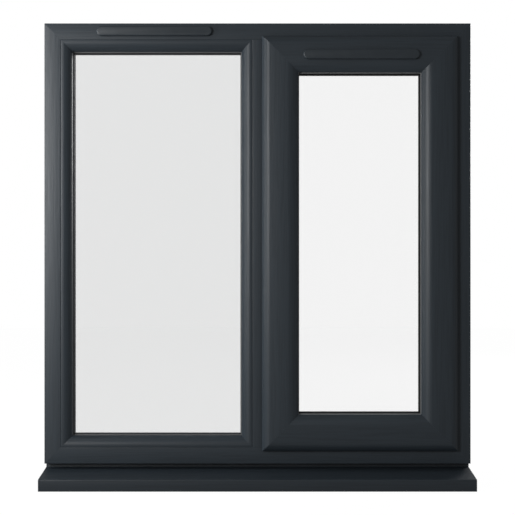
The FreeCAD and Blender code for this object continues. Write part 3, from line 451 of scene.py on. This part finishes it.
def make_mullion():
    """A T-shaped post: its front reaches between the rebates, and its back between the rails' legs."""
    low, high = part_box("mullion")
    left, right = low.x / MM + LEG, high.x / MM - LEG
    middle_low = frame_rect[1] + FRAME_FACE * MM
    middle_high = frame_rect[3] - FRAME_FACE * MM
    front = outline([(left, 0, SOFT), (right, 0, SOFT), (right, LEG_FRONT, 0), (left, LEG_FRONT, 0)])
    back = outline(
        [
            (left - LEG, LEG_FRONT, TIGHT),
            (right + LEG, LEG_FRONT, TIGHT),
            (right + LEG, FRAME_DEPTH, SOFT),
            (left - LEG, FRAME_DEPTH, SOFT),
        ]
    )
    post = extruded(front, "xyz", middle_low, middle_high)
    legs = extruded(back, "xyz", middle_low + LEG * MM, middle_high - LEG * MM)
    piece("mullion_foiled", joined([post, legs]), "frame", "mullion", foils["z"])


SASH_FRONT, FLANGE_BACK, SASH_BACK = -20.0, -5.0, 48.0
BODY_START, BODY_END = 19.0, 55.0
OVOLO, NOSE_START, NOSE_END = 17.0, 55.0, 77.0
NOSE_BACK, NOSE_SLOPE = 1.0, 11.0
FLANGE_TIP = 4.0
SASH_ROUND = -2.6
SASH_BARS = {
    "left": "sash_lock_stile",
    "right": "sash_hinge_stile",
    "head": "sash_top_rail",
    "bottom": "sash_bottom_rail",
}


def sash_profile():
    """The sash bar: a flange whose outer edge and glass edge are both ovolos, on a box body."""
    tip, flat_start = (0.0, FLANGE_BACK - FLANGE_TIP), (OVOLO, SASH_FRONT)
    flat_end, nose = (NOSE_START, SASH_FRONT), (NOSE_END, SASH_FRONT + NOSE_SLOPE)
    return outline(
        [
            (0, FLANGE_BACK, 0.8),
            arc_points(tip, flat_start, SASH_ROUND),
            arc_points(flat_end, nose, SASH_ROUND),
            (NOSE_END, NOSE_BACK, 0.5),
            (BODY_END, NOSE_BACK, 0),
            (BODY_END, SASH_BACK, TIGHT),
            (BODY_START, SASH_BACK, SOFT),
            (BODY_START, FLANGE_BACK, 0),
        ]
    )


def make_sash():
    make_bars(SASH_BARS, sash_profile(), sash_rect, "sash")


BEAD_FLAT, BEAD_WIDTH, BEAD_NOSE, BEAD_DEPTH = 5.0, 23.0, 14.0, 22.0
BEAD_ROUND = -3.2
FIXED_BEADS = {
    "left": "fixed_bead_left",
    "right": "fixed_bead_right",
    "head": "fixed_bead_top",
    "bottom": "fixed_bead_bottom",
}


def fixed_bead_profile():
    """Outdoor bead: flush with the frame, then one round down to its glass edge."""
    return outline(
        [
            (0, 0, 0.35),
            arc_points((BEAD_FLAT, 0), (BEAD_WIDTH, BEAD_NOSE), BEAD_ROUND),
            (BEAD_WIDTH, BEAD_DEPTH, 0.5),
            (0, BEAD_DEPTH, 0),
        ]
    )


def make_fixed_beads():
    make_bars(FIXED_BEADS, fixed_bead_profile(), fixed_rect, "frame")


SASH_BEAD_START, SASH_BEAD_END, SASH_BEAD_FRONT = 55.0, 78.0, 31.0
SASH_BEAD_FOOT, SASH_BEAD_FLAT, SASH_BEAD_ROUND = 4.0, 8.0, -3.0


def sash_bead_profile():
    """Indoor bead: a foot against the glass and one round up to the sash's room face."""
    start = (SASH_BEAD_END, SASH_BEAD_FRONT + SASH_BEAD_FOOT)
    end = (SASH_BEAD_START + SASH_BEAD_FLAT, SASH_BACK)
    return outline(
        [
            (SASH_BEAD_START, SASH_BEAD_FRONT, 0),
            (SASH_BEAD_END, SASH_BEAD_FRONT, 0.6),
            arc_points(start, end, SASH_BEAD_ROUND),
            (SASH_BEAD_START, SASH_BACK, 0.3),
        ]
    )


def make_sash_beads():
    groups = {"sash_beads_upright": ("left", "right"), "sash_beads_level": ("head", "bottom")}
    for node, sides in groups.items():
        shape = joined([mitred(sash_bead_profile(), sash_rect, side) for side in sides])
        piece(node + "_foiled", shape, "sash", node, foils[axis_of(sides[0])])


SILL_NOSE_TOP = 10.0
SILL_STEP_FRONT, SILL_STEP_FOOT = 25.0, 19.6
DRIP_THICK, DRIP_CHAMFER = 18.0, 4.0
SILL_CORNER = 0.8
CAP_BEVEL = 0.5


def make_sill():
    """The sill's side view (y, z) along X: a sloping top, a square nose and a raised seat for the frame."""
    low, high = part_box("sill_end_caps")
    inner_low, inner_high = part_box("sill")
    nose, back = low.y / MM, high.y / MM
    bottom, seat = low.z / MM, high.z / MM
    drip_back = nose + DRIP_THICK
    profile = outline(
        [
            (nose, SILL_NOSE_TOP, 2.2),
            (SILL_STEP_FRONT, SILL_STEP_FOOT, SILL_CORNER),
            (SILL_STEP_FRONT, seat, 0.5),
            (back, seat, SILL_CORNER),
            (back, 0, SILL_CORNER),
            (drip_back + DRIP_CHAMFER, 0, SILL_CORNER),
            (drip_back, -DRIP_CHAMFER, SILL_CORNER),
            (drip_back, bottom, 1.2),
            (nose, bottom, 1.8),
        ]
    )
    board = extruded(profile, "yzx", inner_low.x, inner_high.x)
    # The sill's darkened foil is painted shade.
    piece("sill_foiled", board, "frame", "sill", painted_shade_sill_foil)
    left_cap = extruded(profile, "yzx", low.x, inner_low.x)
    right_cap = extruded(profile, "yzx", inner_high.x, high.x)
    caps = piece("sill_caps", joined([left_cap, right_cap]), "frame", "sill_end_caps", moulded)
    soften = caps.modifiers.new("soft_edges", "BEVEL")
    soften.width = CAP_BEVEL * MM
    soften.segments = 2
    soften.limit_method = "ANGLE"


def seal_ring(name, node, outlines, rect, body, lip_painted_highlight):
    """A glazing seal: a dark foot under the bar and a lip beside it, four mitred strips of each. The lip is
    real, but its pale grey paints the highlight line along the glass edge.
    """
    foot, lip = outlines
    sides = ("left", "head", "right", "bottom")
    feet = [mitred(foot, rect, side) for side in sides]
    lips = [mitred(lip, rect, side) for side in sides]
    thing = piece(name, joined(feet + lips), body, node, rubber)
    thing.data.materials.append(lip_painted_highlight)
    foot_faces = sum(len(faces) for _, faces in feet)
    # The lip faces take the second material, the pale lip: a painted highlight.
    finish = np.zeros(len(thing.data.polygons), dtype=np.int32)
    finish[foot_faces:] = 1
    thing.data.polygons.foreach_set("material_index", finish)


LIP_OVERLAP, LIP_SHOWING, LIP_THICK = 0.6, 1.1, 1.0
FOOT_SETBACK = 0.5


def seal_outlines(start, bar_edge, reach, front, back):
    """The foot from start to reach, and the lip that lies on it just past the bar's edge."""
    inner, outer = bar_edge - LIP_OVERLAP, bar_edge + LIP_SHOWING
    foot_front, lip_back = front + FOOT_SETBACK, front + LIP_THICK
    foot = outline([(start, foot_front, 0), (reach, foot_front, 0.6), (reach, back, 0.2), (start, back, 0)])
    lip = outline([(inner, front, 0.2), (outer, front, 0.5), (outer, lip_back, 0.2), (inner, lip_back, 0)])
    return foot, lip


def make_gaskets():
    outlines = seal_outlines(start=14.0, bar_edge=BEAD_WIDTH, reach=25.5, front=22.0, back=25.0)
    seal_ring("fixed_outer_seal", "fixed_outer_gasket", outlines, fixed_rect, "frame", fixed_lip_painted_highlight)
    outlines = seal_outlines(start=62.5, bar_edge=NOSE_END, reach=79.0, front=1.0, back=4.0)
    seal_ring("sash_outer_seal", "sash_outer_gasket", outlines, sash_rect, "sash", sash_lip_painted_highlight)


HOOD_ROUND = 3.2


def canopy_mesh(node, name, body):
    """A vent hood: outlines with round ends, stacked from its mounting face and drawn in at the front.

    Past the first one, which is at depth 0, an outline stands at depth d - e + e*sin(a) and is drawn in
    by e*(1 - cos(a)), with a from 0 to a right angle, d the hood's depth and e its edge rounding.
    """
    low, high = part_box(node)
    centre = (low + high) / 2
    half = (high.z - low.z) / 2
    straight = (high.x - low.x) / 2 - half
    depth = high.y - low.y
    edge = HOOD_ROUND * MM
    turn = np.linspace(-math.pi / 2, math.pi / 2, HOOD_END_STEPS)
    outward = np.stack([np.cos(turn), np.sin(turn)], axis=1)
    right_end = outward * half + [straight, 0]
    rim = np.vstack([right_end, -right_end])
    outward = np.vstack([outward, -outward])
    a = np.linspace(0, math.pi / 2, HOOD_EDGE_STEPS)[:, None, None]
    drawn = rim[None] - outward[None] * edge * (1 - np.cos(a))
    depths = np.broadcast_to((depth - edge) + edge * np.sin(a), drawn.shape[:2] + (1,))
    first = np.concatenate([rim[None], np.zeros((1, len(rim), 1))], axis=-1)
    layers = np.concatenate([first, np.concatenate([drawn, depths], axis=-1)])
    across, up, out = np.moveaxis(layers, -1, 0)
    points = np.stack([centre.x + across, high.y - out, centre.z + up], axis=-1)
    shape = points.reshape(-1, 3), run_faces(len(rim), len(layers))
    piece(name, shape, body, node, moulded, HOOD_FLAT_ANGLE)


WELD_DISTANCE = 0.01
BEVEL_ANGLE = 40.0


def finish_node(name, material, bevel):
    """Gives a carried-over CAD piece its finish and, unless bevel is 0, a fine bevel on welded edges."""
    thing = nodes[name]
    thing.data.materials.clear()
    thing.data.materials.append(material)
    if bevel == 0:
        return
    weld = thing.modifiers.new("weld", "WELD")
    weld.merge_threshold = WELD_DISTANCE * MM
    soft = thing.modifiers.new("fine_bevel", "BEVEL")
    soft.width = bevel * MM
    soft.segments = 2
    soft.limit_method = "ANGLE"
    soft.angle_limit = math.radians(BEVEL_ANGLE)
    soft.use_clamp_overlap = True


def finish_cad():
    """The carried-over nodes by finish: material, bevel, and the nodes' names."""
    stay_parts = ("track", "long_arm", "short_arm", "sash_plate")
    stays = [f"stay_{part}_{end}" for part in stay_parts for end in ("top", "bottom")]
    lock = ["lock_" + part for part in ("faceplate", "drive_bar", "keeps", "cams", "pinion", "gear_case")]
    vents = ["vent_body_head", "vent_body_sash", "vent_flap_head", "vent_flap_sash"]
    seals = ["rebate_gasket", "sash_weather_gasket", "fixed_inner_gasket", "sash_inner_gasket"]
    finishes = [
        (stainless, 0.15, stays),
        (zinc, 0, lock),
        (zinc, 0, ["frame_screws", "sash_screws", "handle_spindle", "handle_barrel"]),
        (galvanised, 0, ["frame_reinforcement", "sash_reinforcement"]),
        (moulded, 0.3, vents),
        (coated, 0.4, ["handle_base", "handle_lever", "handle_button"]),
        (rubber, 0, seals),
        (black_tube, 0, ["fixed_spacer_bar", "sash_spacer_bar"]),
        (blue_plastic, 0, ["fixed_glazing_packers", "sash_glazing_packers"]),
        (fixed_glass, 0, ["fixed_outer_pane", "fixed_inner_pane"]),
        (sash_glass, 0, ["sash_outer_pane", "sash_inner_pane"]),
    ]
    for material, bevel, names in finishes:
        for name in names:
            finish_node(name, material, bevel)


# ---- studio ----
def area_light(name, place, aim, size, power, mirrored=True):
    """A soft rectangular lamp; one that isn't mirrored lights the window but leaves no image in its gloss."""
    data = bpy.data.lights.new(name, "AREA")
    data.shape = "RECTANGLE"
    data.size, data.size_y = size
    data.energy = power
    lamp = bpy.data.objects.new(name, data)
    bpy.context.scene.collection.objects.link(lamp)
    lamp.location = place
    lamp.visible_camera = False
    lamp.visible_glossy = mirrored
    lamp.rotation_euler = (Vector(aim) - Vector(place)).to_track_quat("-Z", "Y").to_euler()
    return lamp


def make_world():
    """A dim pale room for light and reflections, and plain white behind the window."""
    room_light = 0.22
    world = bpy.data.worlds.new("studio")
    bpy.context.scene.world = world
    world.use_nodes = True
    tree = world.node_tree
    tree.nodes.clear()
    out = tree.nodes.new("ShaderNodeOutputWorld")
    room = tree.nodes.new("ShaderNodeBackground")
    room.inputs["Color"].default_value = (1, 1, 1, 1)
    room.inputs["Strength"].default_value = room_light
    white = tree.nodes.new("ShaderNodeBackground")
    white.inputs["Color"].default_value = (1, 1, 1, 1)
    white.inputs["Strength"].default_value = 1.0
    seen = tree.nodes.new("ShaderNodeLightPath")
    mix = tree.nodes.new("ShaderNodeMixShader")
    tree.links.new(seen.outputs["Is Camera Ray"], mix.inputs[0])
    tree.links.new(room.outputs[0], mix.inputs[1])
    tree.links.new(white.outputs[0], mix.inputs[2])
    tree.links.new(mix.outputs[0], out.inputs["Surface"])


def make_floor():
    """A pale floor under the sill's nose, bright enough to run into the white behind."""
    half_width, gap = 6.0, 0.4 * MM
    z = cad_box[0][2] - gap
    n = Nodes("pale_floor")
    dark, light = (0.03, 0.03, 0.03, 1), (0.04, 0.04, 0.04, 1)
    grain = n.add("TexNoise", {"Vector": n.place([40.0] * 3), "Scale": 1.0, "Detail": 2.0})
    tone = n.add("Mix", {"Factor": grain.outputs["Fac"], "A": dark, "B": light}, data_type="RGBA")
    links = {
        "Base Color": tone.outputs["Result"],
        "Roughness": 0.9,
        "Emission Color": (1, 1, 1, 1),
        "Emission Strength": 0.985,
        "Specular IOR Level": 0.0,
    }
    material = n.finish(n.add("BsdfPrincipled", links))
    mesh = bpy.data.meshes.new("floor")
    corners = [(x * half_width, y * half_width, z) for x, y in ((-1, -1), (1, -1), (1, 1), (-1, 1))]
    mesh.from_pydata(corners, [], [(0, 1, 2, 3)])
    mesh.materials.append(material)
    floor = bpy.data.objects.new("floor", mesh)
    bpy.context.scene.collection.objects.link(floor)
    floor.visible_diffuse = False
    floor.visible_glossy = False


def make_camera():
    """Square on to the window, from outdoors, at about the height of its middle."""
    distance, height = 2.694, 0.4678
    data = bpy.data.cameras.new("camera")
    data.lens = 88.7
    data.sensor_width = 36.0
    camera = bpy.data.objects.new("camera", data)
    bpy.context.scene.collection.objects.link(camera)
    camera.location = (0, -distance, height)
    camera.rotation_euler = (math.radians(90), 0, 0)
    bpy.context.scene.camera = camera


make_frame()
make_mullion()
make_fixed_beads()
make_sash()
make_sash_beads()
make_sill()
make_gaskets()
canopy_mesh("vent_canopy_head", "head_vent_hood", "frame")
canopy_mesh("vent_canopy_sash", "sash_vent_hood", "sash")
finish_cad()
make_world()
make_floor()
area_light("grazing_left", (-2.5, -0.18, 0.85), (0, 0, 0.6), (0.12, 1.6), 34, False)
area_light("near_left", (-0.8, -0.32, 0.7), (-0.4, 0, 0.66), (0.15, 0.95), 2.3)
area_light("fill_left", (-1.45, -2.3, 0.9), (0, 0, 0.45), (0.7, 0.7), 28)
area_light("behind_right", (2.2, 2.6, 1.3), (0, 0, 0.5), (1.0, 1.0), 60)
bpy.context.scene.view_settings.view_transform = "Standard"
make_camera()
